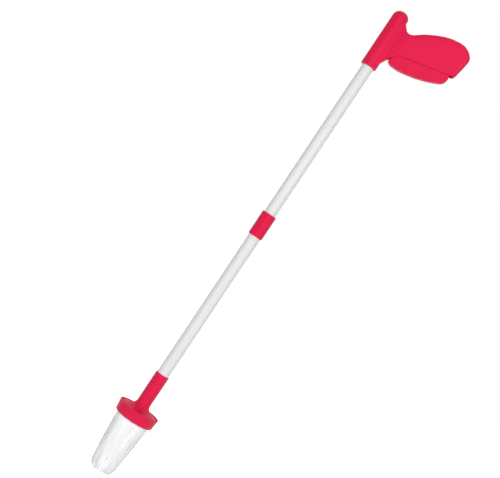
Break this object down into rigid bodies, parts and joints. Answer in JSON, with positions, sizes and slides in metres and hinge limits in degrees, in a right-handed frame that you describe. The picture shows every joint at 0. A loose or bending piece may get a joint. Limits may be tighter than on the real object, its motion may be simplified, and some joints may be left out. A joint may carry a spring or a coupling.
{
  "type": "spider catcher",
  "caption": "Long squeeze-handled pole whose trigger opens a soft bristle brush at the far end, to pick up small insects.",
  "frame": {"origin": "in the middle of the grip, where the palm holds it", "axes": "+Z along the pole towards the handle, +X from the pole along the grip, Y across the two handle shells"},
  "size_m": [0.1211, 0.052, 0.6501],
  "materials": {
    "crimson_plastic": "satin moulded",
    "white_tube_plastic": "satin extruded",
    "white_acetal": "matte moulded",
    "white_nylon": "soft bristle",
    "plated_steel": "zinc plated"
  },
  "bodies": {
    "pole": {"handle_left_shell": "crimson_plastic", "handle_right_shell": "crimson_plastic", "handle_screw_1": "plated_steel", "handle_screw_2": "plated_steel", "handle_screw_3": "plated_steel", "handle_screw_4": "plated_steel", "trigger_pivot_pin": "plated_steel", "spring_seat": "white_acetal", "return_spring": "plated_steel", "upper_tube": "white_tube_plastic", "lower_tube": "white_tube_plastic", "tube_collar": "crimson_plastic", "middle_rod_guide": "white_acetal", "lower_rod_guide": "white_acetal", "head_bell": "crimson_plastic", "hinge_ring": "white_acetal"},
    "trigger": {"trigger": "crimson_plastic"},
    "push_rod": {"rod_head": "white_acetal", "upper_push_rod": "white_acetal", "rod_coupler": "white_acetal", "lower_push_rod": "white_acetal", "actuator_disc": "white_acetal", "disc_nut": "plated_steel"},
    "tuft_01": {"tuft_holder_01": "white_acetal", "bristle_tuft_01": "white_nylon"},
    "tuft_02": {"tuft_holder_02": "white_acetal", "bristle_tuft_02": "white_nylon"},
    "tuft_03": {"tuft_holder_03": "white_acetal", "bristle_tuft_03": "white_nylon"},
    "tuft_04": {"tuft_holder_04": "white_acetal", "bristle_tuft_04": "white_nylon"},
    "tuft_05": {"tuft_holder_05": "white_acetal", "bristle_tuft_05": "white_nylon"},
    "tuft_06": {"tuft_holder_06": "white_acetal", "bristle_tuft_06": "white_nylon"},
    "tuft_07": {"tuft_holder_07": "white_acetal", "bristle_tuft_07": "white_nylon"},
    "tuft_08": {"tuft_holder_08": "white_acetal", "bristle_tuft_08": "white_nylon"},
    "tuft_09": {"tuft_holder_09": "white_acetal", "bristle_tuft_09": "white_nylon"},
    "tuft_10": {"tuft_holder_10": "white_acetal", "bristle_tuft_10": "white_nylon"},
    "tuft_11": {"tuft_holder_11": "white_acetal", "bristle_tuft_11": "white_nylon"},
    "tuft_12": {"tuft_holder_12": "white_acetal", "bristle_tuft_12": "white_nylon"}
  },
  "joints": [
    {"name": "trigger_squeeze", "type": "hinge", "parent": "pole", "child": "trigger", "pos_m": [-0.031, 0, -0.015], "axis": [0, -1, 0], "range_deg": [0, 10], "stiffness_Nm_per_rad": 1.2, "springref_deg": -8.59},
    {"name": "rod_slide", "type": "slide", "parent": "pole", "child": "push_rod", "axis": [0, 0, -1], "range_m": [0, 0.0042], "deforming": ["return_spring"]},
    {"name": "tuft_01_open", "type": "hinge", "parent": "pole", "child": "tuft_01", "pos_m": [-0.03549, 0.00523, -0.547], "axis": [0.2588, -0.9659, 0], "range_deg": [0, 35]},
    {"name": "tuft_02_open", "type": "hinge", "parent": "pole", "child": "tuft_02", "pos_m": [-0.04072, 0.01428, -0.547], "axis": [0.7071, -0.7071, 0], "range_deg": [0, 35]},
    {"name": "tuft_03_open", "type": "hinge", "parent": "pole", "child": "tuft_03", "pos_m": [-0.04977, 0.01951, -0.547], "axis": [0.9659, -0.2588, 0], "range_deg": [0, 35]},
    {"name": "tuft_04_open", "type": "hinge", "parent": "pole", "child": "tuft_04", "pos_m": [-0.06023, 0.01951, -0.547], "axis": [0.9659, 0.2588, 0], "range_deg": [0, 35]},
    {"name": "tuft_05_open", "type": "hinge", "parent": "pole", "child": "tuft_05", "pos_m": [-0.06928, 0.01428, -0.547], "axis": [0.7071, 0.7071, 0], "range_deg": [0, 35]},
    {"name": "tuft_06_open", "type": "hinge", "parent": "pole", "child": "tuft_06", "pos_m": [-0.07451, 0.00523, -0.547], "axis": [0.2588, 0.9659, 0], "range_deg": [0, 35]},
    {"name": "tuft_07_open", "type": "hinge", "parent": "pole", "child": "tuft_07", "pos_m": [-0.07451, -0.00523, -0.547], "axis": [-0.2588, 0.9659, 0], "range_deg": [0, 35]},
    {"name": "tuft_08_open", "type": "hinge", "parent": "pole", "child": "tuft_08", "pos_m": [-0.06928, -0.01428, -0.547], "axis": [-0.7071, 0.7071, 0], "range_deg": [0, 35]},
    {"name": "tuft_09_open", "type": "hinge", "parent": "pole", "child": "tuft_09", "pos_m": [-0.06023, -0.01951, -0.547], "axis": [-0.9659, 0.2588, 0], "range_deg": [0, 35]},
    {"name": "tuft_10_open", "type": "hinge", "parent": "pole", "child": "tuft_10", "pos_m": [-0.04977, -0.01951, -0.547], "axis": [-0.9659, -0.2588, 0], "range_deg": [0, 35]},
    {"name": "tuft_11_open", "type": "hinge", "parent": "pole", "child": "tuft_11", "pos_m": [-0.04072, -0.01428, -0.547], "axis": [-0.7071, -0.7071, 0], "range_deg": [0, 35]},
    {"name": "tuft_12_open", "type": "hinge", "parent": "pole", "child": "tuft_12", "pos_m": [-0.03549, -0.00523, -0.547], "axis": [-0.2588, -0.9659, 0], "range_deg": [0, 35]}
  ],
  "couplings": [
    {"joint": "rod_slide", "follows": "trigger_squeeze", "m_per_rad": 0.023973},
    {"joint": "tuft_01_open", "follows": "trigger_squeeze", "ratio": 3.5},
    {"joint": "tuft_02_open", "follows": "trigger_squeeze", "ratio": 3.5},
    {"joint": "tuft_03_open", "follows": "trigger_squeeze", "ratio": 3.5},
    {"joint": "tuft_04_open", "follows": "trigger_squeeze", "ratio": 3.5},
    {"joint": "tuft_05_open", "follows": "trigger_squeeze", "ratio": 3.5},
    {"joint": "tuft_06_open", "follows": "trigger_squeeze", "ratio": 3.5},
    {"joint": "tuft_07_open", "follows": "trigger_squeeze", "ratio": 3.5},
    {"joint": "tuft_08_open", "follows": "trigger_squeeze", "ratio": 3.5},
    {"joint": "tuft_09_open", "follows": "trigger_squeeze", "ratio": 3.5},
    {"joint": "tuft_10_open", "follows": "trigger_squeeze", "ratio": 3.5},
    {"joint": "tuft_11_open", "follows": "trigger_squeeze", "ratio": 3.5},
    {"joint": "tuft_12_open", "follows": "trigger_squeeze", "ratio": 3.5}
  ]
}
